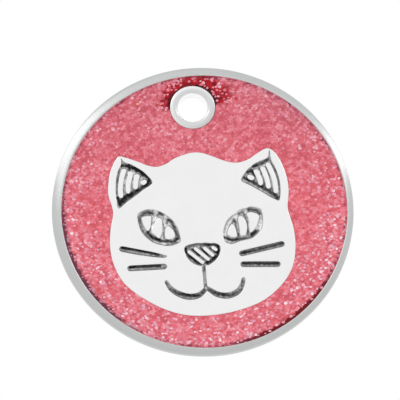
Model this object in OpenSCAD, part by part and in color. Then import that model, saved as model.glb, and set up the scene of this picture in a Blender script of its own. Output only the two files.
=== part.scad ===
// A round pet tag that hangs from a ring: a struck metal disc with a raised rim, a cat's
// head left standing in a sunk field, glitter enamel poured into the field, and black ink
// in the bottom of the head's grooves. Millimetres. The front faces -Y, up is +Z, and the
// origin is the centre of the hang hole, halfway through the tag.

/* [Tag] */
// Outer diameter of the tag
tag_d = 25.4; // [23:0.1:32]
// Thickness of the tag over its rim
tag_t = 1.4; // [1.2:0.05:2.4]
// Width of the raised rim, seen from the front
rim_w = 0.68; // [0.55:0.01:1]
// Rounding of the rim's outer front edge
front_edge_r = 0.4; // [0.1:0.02:0.45]
// Rounding of the disc's outer back edge
back_edge_r = 0.6; // [0.1:0.05:0.7]
// Rounding of the rim's inner top edge
rim_lip_r = 0.08; // [0.03:0.01:0.1]
// Depth of the sunk field below the rim's top
field_depth = 0.5; // [0.42:0.02:0.7]
// How far right of the struck design's centre the blank lies, as it was not quite centred
blank_x = -0.11; // [-0.18:0.01:0.18]
// How far above the struck design's centre the blank lies
blank_y = 0.15; // [-0.18:0.01:0.18]

/* [Hang hole] */
// Diameter of the hole for the ring
hole_d = 2.5; // [2:0.1:3]
// Distance from the hole's centre to the top of the field
hole_inset = 2.76; // [2.6:0.01:3.1]
// Wall of the collar round the hole
collar_w = 0.69; // [0.5:0.01:0.8]
// Rounding of the collar's outer top edge
collar_round_r = 0.14; // [0.05:0.01:0.22]
// Rounding of the hole's front edge
hole_front_r = 0.24; // [0.05:0.01:0.26]
// Rounding of the hole's back edge
hole_back_r = 0.15; // [0.05:0.01:0.3]

/* [Enamel and ink] */
// How far the enamel lies below the rim's top
enamel_drop = 0.05; // [0:0.01:0.15]
// Thickness of the ink in the bottom of the grooves
ink_t = 0.1; // [0.05:0.01:0.15]

/* [Head] */
// Width of the cat's head
head_w = 15.6; // [15:0.1:17]
// Height of the cat's head from chin to left ear tip
head_h = 14.8; // [14.2:0.1:15.6]
// Place of the head's middle beside the tag's centre line
head_x = -0.45; // [-1:0.05:1]
// Place of the head's middle above the tag's centre
head_y = -1.8; // [-2.3:0.05:-1.5]
// Depth of every groove in the head
groove_depth = 0.3; // [0.2:0.02:0.4]

/* [Ears] */
// Width of the sunk inner ear
ear_w = 3.2; // [2.8:0.05:3.4]
// Height of the sunk inner ear
ear_h = 3.9; // [3.4:0.05:4.1]
// Width of the bars that stand in the ears
ear_bar_w = 0.42; // [0.3:0.01:0.46]

/* [Eyes] */
// Width of an eye's groove, outside
eye_w = 3.5; // [3:0.05:3.8]
// Height of an eye's groove, outside
eye_h = 3.3; // [2.8:0.05:3.6]

/* [Nose and mouth] */
// Width of the nose
nose_w = 3.1; // [2.6:0.05:3.6]
// Height of the nose
nose_h = 2.1; // [1.8:0.05:2.4]
// Width of the bars that stand in the nose
nose_bar_w = 0.3; // [0.2:0.01:0.34]
// Width of the mouth's groove in the middle of each half
mouth_w = 0.54; // [0.3:0.01:0.65]
// Width of the mouth's groove at its ends
mouth_tip_w = 0.32; // [0.2:0.01:0.4]
// Width of the groove between nose and mouth
lip_line_w = 0.3; // [0.2:0.01:0.45]

/* [Whiskers] */
// Width of a whisker's groove
whisker_w = 0.5; // [0.3:0.01:0.55]

/* [Hidden] */

// Overrun of every cut past the face that it opens
overrun = 0.05;
// Steps of a quarter-round edge, of a round end and between two points of a curve
edge_steps = 6;
end_steps = 6;
curve_steps = 3;

tag_r = tag_d / 2;
field_r = tag_r - rim_w;
field_z = tag_t - field_depth;
hole_r = hole_d / 2;
hole_y = field_r - hole_inset;
collar_r = hole_r + collar_w;
groove_z = tag_t - groove_depth;
narrow_rim_w = rim_w - norm([blank_x, blank_y]);
front_r = min(front_edge_r, narrow_rim_w - rim_lip_r);
back_r = min(back_edge_r, tag_t - front_r);

// Points below are shares of the size of what they draw, from its middle, +x to the
// viewer's right. The drawing is not symmetrical, so each side has its own points.
head_shares = [
  [-0.397, 0.497], [-0.352, 0.481], [-0.300, 0.455], [-0.250, 0.427], [-0.200, 0.413],
  [-0.150, 0.425], [-0.100, 0.453], [-0.050, 0.469], [0.000, 0.478], [0.050, 0.471],
  [0.100, 0.447], [0.150, 0.420], [0.195, 0.400], [0.240, 0.393], [0.290, 0.404],
  [0.340, 0.432], [0.380, 0.455], [0.410, 0.461], [0.440, 0.438], [0.465, 0.390],
  [0.483, 0.330], [0.494, 0.265], [0.494, 0.190], [0.479, 0.100], [0.486, 0.040],
  [0.499, -0.040], [0.497, -0.140], [0.472, -0.250], [0.410, -0.348], [0.300, -0.437],
  [0.170, -0.482], [0.030, -0.500], [-0.110, -0.490], [-0.230, -0.446], [-0.345, -0.367],
  [-0.440, -0.270], [-0.487, -0.160], [-0.500, -0.050], [-0.488, 0.060], [-0.464, 0.150],
  [-0.466, 0.205], [-0.478, 0.270], [-0.472, 0.330], [-0.458, 0.395], [-0.434, 0.450],
  [-0.416, 0.478]
];

left_ear_place_share = [-0.335, 0.322];
left_ear_shares = [
  [-0.215, 0.545], [-0.150, 0.500], [-0.020, 0.455], [0.120, 0.375], [0.240, 0.300], [0.330, 0.225],
  [0.400, 0.150], [0.460, 0.080], [0.495, -0.010], [0.400, -0.075], [0.250, -0.140],
  [0.100, -0.225], [-0.050, -0.300], [-0.200, -0.375], [-0.330, -0.455], [-0.440, -0.520],
  [-0.490, -0.480], [-0.490, -0.380], [-0.495, -0.250], [-0.490, -0.120], [-0.475, 0.000],
  [-0.445, 0.140], [-0.405, 0.260], [-0.345, 0.370], [-0.275, 0.460], [-0.258, 0.530],
  [-0.264, 0.600], [-0.238, 0.605]
];
left_ear_bar_shares = [
  [[-0.215, 0.320], [-0.290, 0.170], [-0.345, 0.000], [-0.368, -0.140], [-0.365, -0.235]],
  [[-0.048, 0.245], [-0.095, 0.120], [-0.145, 0.000], [-0.165, -0.150]],
  [[0.120, 0.170], [0.070, 0.070], [0.040, -0.070]],
  [[0.290, 0.030], [0.250, 0.010]]
];

right_ear_place_share = [0.348, 0.275];
right_ear_shares = [
  [0.338, 0.565], [0.342, 0.470], [0.368, 0.375], [0.420, 0.270], [0.463, 0.150], [0.495, 0.020],
  [0.510, -0.100], [0.505, -0.240], [0.485, -0.360], [0.460, -0.460], [0.420, -0.505],
  [0.340, -0.470], [0.200, -0.395], [0.080, -0.315], [-0.050, -0.235], [-0.150, -0.170],
  [-0.240, -0.120], [-0.350, -0.060], [-0.450, -0.010], [-0.500, 0.035], [-0.475, 0.095],
  [-0.420, 0.155], [-0.350, 0.225], [-0.275, 0.285], [-0.200, 0.325], [-0.120, 0.375],
  [-0.020, 0.410], [0.100, 0.445], [0.200, 0.468], [0.262, 0.500], [0.300, 0.590],
  [0.317, 0.655], [0.338, 0.650]
];
right_ear_bar_shares = [
  [[-0.270, 0.095], [-0.215, 0.065]],
  [[-0.085, 0.205], [-0.040, 0.100], [-0.005, 0.000], [0.000, -0.070]],
  [[0.095, 0.255], [0.135, 0.150], [0.180, 0.000], [0.195, -0.160]],
  [[0.250, 0.325], [0.310, 0.180], [0.360, 0.020], [0.380, -0.130], [0.380, -0.280]]
];

left_eye_place_share = [-0.2255, 0.0485];
left_eye_shares = [
  [-0.250, 0.515], [-0.100, 0.500], [0.020, 0.455], [0.120, 0.395], [0.220, 0.310],
  [0.300, 0.225], [0.375, 0.120], [0.430, 0.000], [0.465, -0.130], [0.485, -0.270],
  [0.495, -0.370], [0.470, -0.435], [0.380, -0.475], [0.280, -0.505], [0.160, -0.505],
  [0.040, -0.475], [-0.080, -0.430], [-0.180, -0.375], [-0.280, -0.280], [-0.370, -0.170],
  [-0.430, -0.070], [-0.465, 0.050], [-0.485, 0.200], [-0.490, 0.330], [-0.455, 0.430],
  [-0.370, 0.485]
];
left_eye_bar_shares = [
  [
    [-0.390, 0.310], [-0.275, 0.345], [-0.160, 0.325], [-0.172, 0.200], [-0.192, 0.080],
    [-0.225, -0.020], [-0.270, -0.055], [-0.315, -0.010], [-0.352, 0.080], [-0.380, 0.200]
  ],
  [
    [0.035, 0.280], [0.085, 0.190], [0.090, 0.050], [0.075, -0.080], [0.040, -0.190],
    [-0.030, -0.285], [-0.100, -0.200], [-0.195, -0.070], [-0.130, 0.050], [-0.085, 0.150],
    [-0.030, 0.240]
  ],
  [
    [0.225, 0.030], [0.285, -0.020], [0.335, -0.110], [0.362, -0.200], [0.350, -0.285],
    [0.290, -0.325], [0.200, -0.335], [0.130, -0.300], [0.120, -0.200], [0.145, -0.100],
    [0.170, -0.010]
  ]
];

right_eye_place_share = [0.2288, 0.019];
right_eye_shares = [
  [0.030, 0.430], [0.110, 0.435], [0.200, 0.465], [0.290, 0.455], [0.380, 0.420],
  [0.455, 0.380], [0.480, 0.300], [0.495, 0.190], [0.490, 0.060], [0.475, -0.060],
  [0.440, -0.145], [0.380, -0.220], [0.300, -0.290], [0.220, -0.350], [0.140, -0.390],
  [0.000, -0.410], [-0.120, -0.430], [-0.220, -0.460], [-0.310, -0.485], [-0.400, -0.460],
  [-0.470, -0.410], [-0.500, -0.330], [-0.505, -0.210], [-0.485, -0.080], [-0.440, 0.040],
  [-0.385, 0.140], [-0.315, 0.220], [-0.230, 0.280], [-0.140, 0.330], [-0.060, 0.400]
];
right_eye_bar_shares = [
  [
    [-0.262, 0.055], [-0.215, -0.010], [-0.190, -0.120], [-0.178, -0.220], [-0.185, -0.285],
    [-0.250, -0.310], [-0.330, -0.280], [-0.398, -0.220], [-0.370, -0.100], [-0.320, -0.005]
  ],
  [
    [-0.030, 0.245], [0.020, 0.205], [0.062, 0.110], [0.088, 0.000], [0.082, -0.120],
    [0.055, -0.220], [0.010, -0.280], [-0.050, -0.290], [-0.098, -0.260], [-0.100, -0.130],
    [-0.100, 0.000], [-0.112, 0.120], [-0.085, 0.210]
  ],
  [
    [0.110, 0.290], [0.200, 0.320], [0.300, 0.290], [0.385, 0.240], [0.395, 0.150],
    [0.360, 0.040], [0.320, -0.060], [0.260, -0.140], [0.200, -0.200], [0.140, -0.225],
    [0.135, -0.100], [0.148, 0.050], [0.140, 0.170]
  ]
];

nose_place_share = [-0.0045, -0.1325];
nose_shares = [
  [-0.400, 0.430], [-0.280, 0.460], [-0.140, 0.485], [0.000, 0.460], [0.100, 0.470],
  [0.210, 0.430], [0.330, 0.420], [0.420, 0.370], [0.480, 0.280], [0.490, 0.160],
  [0.465, 0.030], [0.430, -0.100], [0.380, -0.210], [0.300, -0.325], [0.200, -0.425],
  [0.100, -0.485], [0.000, -0.480], [-0.110, -0.480], [-0.220, -0.415], [-0.310, -0.320],
  [-0.390, -0.200], [-0.450, -0.050], [-0.480, 0.100], [-0.495, 0.250], [-0.470, 0.365]
];
nose_bar_shares = [
  [[-0.370, 0.150], [-0.210, -0.090], [-0.035, -0.345]],
  [[-0.190, 0.260], [-0.035, 0.020], [0.125, -0.235]],
  [[0.060, 0.240], [0.160, 0.080], [0.260, -0.080]],
  [[0.285, 0.235], [0.360, 0.140]]
];

// Both halves of the mouth meet below the line that comes down from the nose.
mouth_shares = [
  [[-0.218, -0.278], [-0.202, -0.314], [-0.172, -0.345], [-0.131, -0.370], [-0.092, -0.379],
   [-0.055, -0.375], [-0.026, -0.356], [-0.006, -0.334]],
  [[-0.006, -0.334], [0.013, -0.351], [0.045, -0.377], [0.090, -0.392], [0.130, -0.388],
   [0.163, -0.371], [0.186, -0.339], [0.197, -0.303]]
];
lip_line_shares = [[-0.008, -0.190], [-0.011, -0.330]];

// A whisker's points from its outer end to its inner one, and its widths there as shares
// of whisker_w
upper_left_whisker_shares = [
  [-0.436, -0.057], [-0.355, -0.083], [-0.270, -0.108], [-0.206, -0.127]
];
lower_left_whisker_shares = [[-0.404, -0.1765], [-0.220, -0.1845]];
upper_right_whisker_shares = [[0.4245, -0.117], [0.205, -0.1505]];
lower_right_whisker_shares = [[0.390, -0.234], [0.205, -0.2155]];
upper_left_width_shares = [1, 1, 0.86, 0.48];
straight_width_shares = [1, 1];

function sized(shares, size) = [for (s = shares) [s.x * size.x, s.y * size.y]];
function wrap(points, i) = points[(i + len(points)) % len(points)];
function clamp_to(points, i) = points[max(0, min(i, len(points) - 1))];

// A smooth curve through the points: each stretch is a cubic whose end slopes are half
// the step between the points on either side.
function cubic(a, b, c, d, t) =
  b + (c - a) * t / 2 + (2 * a - 5 * b + 4 * c - d) * t * t / 2
  + (3 * b - a - 3 * c + d) * t * t * t / 2;
function closed_curve(points) = [
  for (i = [0 : len(points) - 1], k = [0 : curve_steps - 1])
    cubic(wrap(points, i - 1), points[i], wrap(points, i + 1), wrap(points, i + 2),
          k / curve_steps)
];
function open_curve(points) = concat(
  [for (i = [0 : len(points) - 2], k = [0 : curve_steps - 1])
    cubic(clamp_to(points, i - 1), points[i], points[i + 1], clamp_to(points, i + 2),
          k / curve_steps)],
  [points[len(points) - 1]]
);

function arc(centre, r, from, to, steps) =
  [for (k = [0 : steps]) let (a = from + (to - from) * k / steps) centre + r * [cos(a), sin(a)]];

// Half-widths along a path: the same everywhere, or growing from tip at both ends to middle
function even(path, r) = [for (p = path) r];
function swelling(path, tip, middle) = let (last = len(path) - 1)
  [for (i = [0 : last]) tip + (middle - tip) * sin(180 * i / last)];

// The outline of a band along a path, with round ends and half-widths r
function direction(path, i) = let (d = clamp_to(path, i + 1) - clamp_to(path, i - 1)) d / norm(d);
function side(d) = [-d.y, d.x];
function round_end(p, d, r) =
  [for (k = [1 : end_steps - 1]) let (a = 90 - 180 * k / end_steps)
    p + r * (cos(a) * d + sin(a) * side(d))];
function band(path, r) = let (last = len(path) - 1) concat(
  [for (i = [0 : last]) path[i] + r[i] * side(direction(path, i))],
  round_end(path[last], direction(path, last), r[last]),
  [for (i = [last : -1 : 0]) path[i] - r[i] * side(direction(path, i))],
  round_end(path[0], -direction(path, 0), r[0])
);

// Stands what was drawn face up in its place: front to -Y, hole's centre at the origin.
module hung() {
  rotate([90, 0, 0])
    translate([0, -hole_y, -tag_t / 2])
      children();
}

module on_head(place = [0, 0]) {
  translate([head_x + place.x * head_w, head_y + place.y * head_h])
    children();
}

module head_plan() {
  on_head()
    polygon(closed_curve(sized(head_shares, [head_w, head_h])));
}

module bars_plan(bars, size, bar_w) {
  for (b = bars)
    let (path = open_curve(sized(b, size)))
      polygon(band(path, even(path, bar_w / 2)));
}

module left_ear_plan() {
  on_head(left_ear_place_share)
    difference() {
      polygon(closed_curve(sized(left_ear_shares, [ear_w, ear_h])));
      bars_plan(left_ear_bar_shares, [ear_w, ear_h], ear_bar_w);
    }
}

module right_ear_plan() {
  on_head(right_ear_place_share)
    difference() {
      polygon(closed_curve(sized(right_ear_shares, [ear_w, ear_h])));
      bars_plan(right_ear_bar_shares, [ear_w, ear_h], ear_bar_w);
    }
}

module eye_plan(outline, bars) {
  difference() {
    polygon(closed_curve(sized(outline, [eye_w, eye_h])));
    for (b = bars)
      polygon(closed_curve(sized(b, [eye_w, eye_h])));
  }
}

module left_eye_plan() {
  on_head(left_eye_place_share)
    eye_plan(left_eye_shares, left_eye_bar_shares);
}

module right_eye_plan() {
  on_head(right_eye_place_share)
    eye_plan(right_eye_shares, right_eye_bar_shares);
}

module nose_outline() {
  on_head(nose_place_share)
    polygon(closed_curve(sized(nose_shares, [nose_w, nose_h])));
}

module nose_plan() {
  difference() {
    nose_outline();
    on_head(nose_place_share)
      bars_plan(nose_bar_shares, [nose_w, nose_h], nose_bar_w);
  }
}

module mouth_plan() {
  difference() {
    on_head()
      union() {
        for (half = mouth_shares)
          let (path = open_curve(sized(half, [head_w, head_h])))
            polygon(band(path, swelling(path, mouth_tip_w / 2, mouth_w / 2)));
        bars_plan([lip_line_shares], [head_w, head_h], lip_line_w);
      }
    nose_outline();
  }
}

module whisker_plan(points, width_shares = straight_width_shares) {
  on_head()
    polygon(band(sized(points, [head_w, head_h]), whisker_w / 2 * width_shares));
}

module upper_left_whisker_plan() {
  whisker_plan(upper_left_whisker_shares, upper_left_width_shares);
}

module lower_left_whisker_plan() {
  whisker_plan(lower_left_whisker_shares);
}

module upper_right_whisker_plan() {
  whisker_plan(upper_right_whisker_shares);
}

module lower_right_whisker_plan() {
  whisker_plan(lower_right_whisker_shares);
}

module grooves() {
  translate([0, 0, groove_z])
    linear_extrude(groove_depth + overrun) {
      left_ear_plan();
      right_ear_plan();
      left_eye_plan();
      right_eye_plan();
      nose_plan();
      mouth_plan();
      upper_left_whisker_plan();
      lower_left_whisker_plan();
      upper_right_whisker_plan();
      lower_right_whisker_plan();
    }
}

// The blank: one profile turned about its own axis, out along the back, up round the edge
// and in over the front
module blank() {
  translate([blank_x, blank_y, 0])
    rotate_extrude($fn = 128)
      polygon(concat(
        [[0, 0]],
        arc([tag_r - back_r, back_r], back_r, -90, 0, edge_steps),
        arc([tag_r - front_r, tag_t - front_r], front_r, 0, 90, edge_steps),
        [[0, tag_t]]
      ));
}

// The sunk field, with the rounded top of the rim's inner wall
module field_cut() {
  rotate_extrude($fn = 128)
    polygon(concat(
      [[0, field_z], [field_r, field_z]],
      arc([field_r + rim_lip_r, tag_t - rim_lip_r], rim_lip_r, 180, 90, edge_steps),
      [[field_r + rim_lip_r, tag_t + overrun], [0, tag_t + overrun]]
    ));
}

module head_relief() {
  linear_extrude(tag_t)
    head_plan();
}

module collar() {
  translate([0, hole_y, 0])
    rotate_extrude($fn = 64)
      polygon(concat(
        [[0, field_z / 2], [collar_r, field_z / 2]],
        arc([collar_r - collar_round_r, tag_t - collar_round_r], collar_round_r, 0, 90,
            edge_steps),
        [[0, tag_t]]
      ));
}

// The hole with its rounded mouths
module hole_cut() {
  translate([0, hole_y, 0])
    rotate_extrude($fn = 64)
      polygon(concat(
        [[0, -overrun], [hole_r + hole_back_r, -overrun]],
        arc([hole_r + hole_back_r, hole_back_r], hole_back_r, 270, 180, edge_steps),
        arc([hole_r + hole_front_r, tag_t - hole_front_r], hole_front_r, 180, 90, edge_steps),
        [[hole_r + hole_front_r, tag_t + overrun], [0, tag_t + overrun]]
      ));
}

module tag_body() {
  color("gainsboro")
    hung()
      difference() {
        union() {
          difference() {
            blank();
            field_cut();
          }
          head_relief();
          collar();
        }
        hole_cut();
        grooves();
      }
}

module glitter_enamel() {
  color("palevioletred")
    hung()
      translate([0, 0, field_z])
        difference() {
          cylinder(r = field_r, h = field_depth - enamel_drop, $fn = 128);
          translate([0, 0, -overrun])
            linear_extrude(field_depth)
              head_plan();
          translate([0, hole_y, -overrun])
            cylinder(r = collar_r, h = field_depth + overrun, $fn = 64);
        }
}

// Ink lies on the floor of a groove and fills it from wall to wall.
module ink() {
  color("black")
    hung()
      translate([0, 0, groove_z])
        linear_extrude(ink_t)
          children();
}

module left_ear_ink() {
  ink() left_ear_plan();
}

module right_ear_ink() {
  ink() right_ear_plan();
}

module left_eye_ink() {
  ink() left_eye_plan();
}

module right_eye_ink() {
  ink() right_eye_plan();
}

module nose_ink() {
  ink() nose_plan();
}

module mouth_ink() {
  ink() mouth_plan();
}

module upper_left_whisker_ink() {
  ink() upper_left_whisker_plan();
}

module lower_left_whisker_ink() {
  ink() lower_left_whisker_plan();
}

module upper_right_whisker_ink() {
  ink() upper_right_whisker_plan();
}

module lower_right_whisker_ink() {
  ink() lower_right_whisker_plan();
}

tag_body();
glitter_enamel();
left_ear_ink();
right_ear_ink();
left_eye_ink();
right_eye_ink();
nose_ink();
mouth_ink();
upper_left_whisker_ink();
lower_left_whisker_ink();
upper_right_whisker_ink();
lower_right_whisker_ink();
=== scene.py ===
from math import radians, sin, cos

import bmesh
import bpy
import numpy as np
from mathutils import Matrix, Vector
from mathutils.geometry import delaunay_2d_cdt


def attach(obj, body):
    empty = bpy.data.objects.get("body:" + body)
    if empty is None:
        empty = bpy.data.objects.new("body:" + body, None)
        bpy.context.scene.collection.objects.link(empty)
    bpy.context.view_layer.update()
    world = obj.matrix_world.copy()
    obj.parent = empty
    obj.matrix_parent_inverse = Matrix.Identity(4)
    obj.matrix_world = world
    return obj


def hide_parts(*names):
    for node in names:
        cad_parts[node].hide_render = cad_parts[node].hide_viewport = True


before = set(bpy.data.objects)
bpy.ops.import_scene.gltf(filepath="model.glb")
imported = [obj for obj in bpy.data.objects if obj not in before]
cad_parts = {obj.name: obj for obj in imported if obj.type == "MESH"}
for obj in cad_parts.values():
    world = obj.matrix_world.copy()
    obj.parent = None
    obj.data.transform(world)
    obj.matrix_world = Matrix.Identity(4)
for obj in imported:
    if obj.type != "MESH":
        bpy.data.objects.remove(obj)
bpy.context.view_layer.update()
scene = bpy.context.scene
scene.view_settings.view_transform = "Standard"

# lengths in this file are in mm unless a name says otherwise, and become metres in makePiece
frontY = -0.7           # the struck front's plane
thickness = 1.4
backY = frontY + thickness
discZ = -9.26           # height of the disc's centre; the hang hole's centre is the origin

# camera

cameraView = {
    "azimuth": -3.466,      # degrees, a little from the left
    "elevation": -17.767,   # from below
    "roll": -6.480,
    "distance": 1200.0,     # the photo shows next to no perspective
    "lens": 1282.5,
    "aim": (-0.222, 0.0, -8.025),
}


def placeCamera(v):
    # back points from the aim to the lens; right and up are turned about it by the roll
    az, el, roll = radians(v["azimuth"]), radians(v["elevation"]), radians(v["roll"])
    back = Vector((sin(az) * cos(el), -cos(az) * cos(el), sin(el)))
    right = (-back).cross(Vector((0, 0, 1))).normalized()
    up = right.cross(-back)
    rolledRight = right * cos(roll) + up * sin(roll)
    rolledUp = up * cos(roll) - right * sin(roll)
    place = (Vector(v["aim"]) + back * v["distance"]) / 1000
    lens = bpy.data.cameras.new("camera")
    lens.lens = v["lens"]
    lens.clip_start = 0.01
    camera = bpy.data.objects.new("camera", lens)
    turn = Matrix((rolledRight, rolledUp, back)).transposed()
    camera.matrix_world = Matrix.Translation(place) @ turn.to_4x4()
    scene.collection.objects.link(camera)
    scene.camera = camera


placeCamera(cameraView)
print("camera placed")

# outlines, taken from the fronts of the CAD nodes
# a loop is an array of complex numbers x + i z, anticlockwise when seen from the front

loopStep = 0.06         # spacing of the points on a loop
fewestPoints = 24       # on the shortest loop
softness = 0.045        # how far a corner of an outline is softened, as struck metal is
shiftStep = 0.02        # longest step when a loop is moved in or out
gapShare = 0.42         # share of a gap between two loops that one of them may move by


def walkLoop(following, start):
    # follows the "next point" table; each round doubles the length of the path
    path, hop = np.array([start]), following
    while not (hop[path] == start).any():
        path, hop = np.concatenate([path, hop[path]]), hop[hop]
    path = np.concatenate([path, hop[path]])
    return path[:1 + np.argmax(path[1:] == start)]


def borders(tris, count):
    # "next point" table of the edges that no other triangle shares, and where they start
    a, b = tris.ravel(), np.roll(tris, -1, axis=1).ravel()
    single = ~np.isin(a * count + b, b * count + a)
    following = np.arange(count)
    following[a[single]] = b[single]
    return following, a[single]


def frontLoops(nodeName):
    # the borders of the node's front, joined end to end, the largest loop first
    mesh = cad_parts[nodeName].data
    co = np.empty(len(mesh.vertices) * 3)
    mesh.vertices.foreach_get("co", co)
    tri = np.empty(len(mesh.loops), int)
    mesh.loops.foreach_get("vertex_index", tri)
    grid, same = np.unique(np.round(co.reshape(-1, 3) * 1e6), axis=0, return_inverse=True)
    tri = same.reshape(-1)[tri].reshape(-1, 3)
    flat = (grid[tri][:, :, 1] < grid[:, 1].min() + 1).all(axis=1)
    following, left = borders(tri[flat], len(grid))
    place = (grid[:, 0] + 1j * grid[:, 2]) / 1000
    loops = []
    while len(left):
        path = walkLoop(following, left[0])
        left = left[~np.isin(left, path)]
        loops.append(place[path])
    return sorted(loops, key=lambda l: -abs(loopArea(l)))


def loopArea(loop):
    # half the sum of the cross products of each point and the next
    return 0.5 * np.sum((np.conj(loop) * np.roll(loop, -1)).imag)


def evenLoop(loop):
    # the same outline with its points evenly spaced, always anticlockwise
    loop = loop if loopArea(loop) > 0 else loop[::-1]
    closed = np.append(loop, loop[0])
    run = np.append(0, np.cumsum(abs(np.diff(closed))))
    count = max(fewestPoints, int(round(run[-1] / loopStep)))
    at = np.arange(count) * run[-1] / count
    return np.interp(at, run, closed.real) + 1j * np.interp(at, run, closed.imag)


def softLoop(loop, width):
    # each point becomes the Gaussian mean of its neighbours along the loop, width in mm
    step = abs(np.roll(loop, -1) - loop).mean()
    turns = np.fft.fftfreq(len(loop))
    return np.fft.ifft(np.fft.fft(loop) * np.exp(-2 * (np.pi * turns * width / step) ** 2))


def outward(loop):
    # unit normal: the tangent across each point, turned a quarter clockwise
    tangent = np.roll(loop, -1) - np.roll(loop, 1)
    return -1j * tangent / np.maximum(abs(tangent), 1e-9)


def shifted(loop, distance, room=np.inf):
    # moves a loop outwards by distance in small steps, softened between, so corners never cross;
    # where room, the gap to the nearest other loop, is narrow, it goes a share of the gap at most
    distance = np.sign(distance) * np.minimum(abs(distance), gapShare * room)
    steps = max(1, int(np.ceil(np.max(abs(distance)) / shiftStep)))
    for _ in range(steps):
        loop = loop + outward(loop) * distance / steps
        loop = softLoop(loop, shiftStep) if steps > 1 else loop
    return loop


def gapTo(loop, others):
    # distance from each point to the nearest point of the other loops or of its own loop's facing side,
    # 2 mm if that has none, the least of five neighbours' and evened out along the loop
    normal = outward(loop)
    facing = (normal[:, None] * np.conj(normal)[None, :]).real < -0.2
    far = np.where(facing, abs(loop[:, None] - loop[None, :]), 2.0).min(axis=1)
    if len(others):
        far = np.minimum(far, abs(loop[:, None] - np.concatenate(others)[None, :]).min(axis=1))
    far = np.min([np.roll(far, k) for k in (-2, -1, 0, 1, 2)], axis=0)
    return np.minimum(softLoop(far + 0j, 0.05).real, far)


def gapsWithin(loops):
    # the gap from each loop of a groove to its others
    return [gapTo(l, loops[:k] + loops[k + 1:]) for k, l in enumerate(loops)]


def outline(loop, width=softness):
    # evenly spaced points, then softened corners
    return softLoop(evenLoop(loop), width)


def circle(radius, count, centre=0j):
    # points at even angles round the centre, anticlockwise from the right
    return centre + radius * np.exp(2j * np.pi * np.arange(count) / count)


inkNames = ["left_ear_ink", "right_ear_ink", "left_eye_ink", "right_eye_ink", "nose_ink", "mouth_ink",
            "upper_left_whisker_ink", "lower_left_whisker_ink",
            "upper_right_whisker_ink", "lower_right_whisker_ink"]
headOutline = outline(frontLoops("glitter_enamel")[1])
inkLoops = {name: [outline(l) for l in frontLoops(name)] for name in inkNames}
inkLoops["mouth_ink"] = [outline(frontLoops("mouth_ink")[0], 0.08)]   # rounder at its square upper end
discCentre = 1j * discZ
print("outlines read:", len(headOutline), "points on the head,",
      sum(len(g) - 1 for g in inkLoops.values()), "raised bars")

# mesh tools


def atDepth(loop, depth):
    # a loop laid in the tag at a depth below the front plane, depth being one number or one per point
    return np.stack([loop.real, frontY + depth + 0 * loop.real, loop.imag], axis=-1)


def strip(rings, smooth=True):
    # quads between each ring of points and the next, closed round the loop
    rings = np.asarray(rings)
    ringCount, n = rings.shape[:2]
    k, row = np.arange(n), np.arange(ringCount - 1)[:, None] * n
    after = (k + 1) % n
    faces = np.stack([row + k, row + after, row + n + after, row + n + k], axis=-1).reshape(-1, 4)
    return rings.reshape(-1, 3), faces, smooth


def carried(loop, profile, room=np.inf):
    # a profile of (distance outwards, depth) pairs carried round a loop
    return strip([atDepth(shifted(loop, d, room), u) for d, u in profile])


def turned(profile, count, centre=0j):
    # a profile of (radius, depth) pairs turned round a centre
    return strip([atDepth(circle(r, count, centre), u) for r, u in profile])


def inside(points, loops):
    # even-odd test: how often a line to the right of each point crosses the loops
    crossings = np.zeros(len(points), int)
    for loop in loops:
        a, b = loop[None, :], np.roll(loop, -1)[None, :]
        z, x = points.imag[:, None], points.real[:, None]
        spans = (a.imag > z) != (b.imag > z)
        slope = (b.real - a.real) / np.where(b.imag == a.imag, 1, b.imag - a.imag)
        crossings += (spans & (x < a.real + (z - a.imag) * slope)).sum(axis=1)
    return crossings % 2 == 1


def oddTriangles(tris, walls, count):
    # a triangle is in when an odd number of outline edges lies between it and the outside;
    # the answer spreads from the outermost triangles to their neighbours
    ends = np.sort(np.stack([tris, np.roll(tris, -1, axis=1)], axis=-1).reshape(-1, 2), axis=1)
    code, owner = ends[:, 0] * count + ends[:, 1], np.repeat(np.arange(len(tris)), 3)
    order = np.argsort(code, kind="stable")
    code, owner = code[order], owner[order]
    crosses = np.isin(code, walls.min(axis=1) * count + walls.max(axis=1))
    twin = np.append(code[1:] == code[:-1], False)
    alone = ~twin & ~np.roll(twin, 1)
    first, second, change = owner[:-1][twin[:-1]], owner[1:][twin[:-1]], crosses[:-1][twin[:-1]]
    odd = np.full(len(tris), -1)
    odd[owner[alone]] = crosses[alone]
    while (odd < 0).any():
        for a, b in ((first, second), (second, first)):
            reached = (odd[a] >= 0) & (odd[b] < 0)
            odd[b[reached]] = odd[a[reached]] ^ change[reached]
    return odd == 1


def triangles(loops, inner=np.zeros(0, complex)):
    # points, triangles over the whole convex hull, and the edges that belong to the loops
    points = np.concatenate(list(loops) + [inner])
    starts = np.cumsum([0] + [len(l) for l in loops])
    edges = np.concatenate([np.stack([s + np.arange(len(l)), s + (np.arange(len(l)) + 1) % len(l)], axis=1)
                            for s, l in zip(starts, loops)])
    flat = np.stack([points.real, points.imag], axis=1).tolist()
    verts, joins, tris, _, source, _ = delaunay_2d_cdt(
        [Vector(p) for p in flat], edges.tolist(), [], 0, 1e-6, True)
    walls = np.array(joins)[np.array([len(s) > 0 for s in source])]
    return np.array(verts)[:, :2] @ np.array([1, 1j]), np.array(tris), walls


def filled(loops, depth, inner=np.zeros(0, complex), smooth=False):
    # flat triangles between the loops; inner points are met on the way
    verts, tris, walls = triangles(loops, inner)
    return atDepth(verts, depth), tris[oddTriangles(tris, walls, len(verts))], smooth


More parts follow.
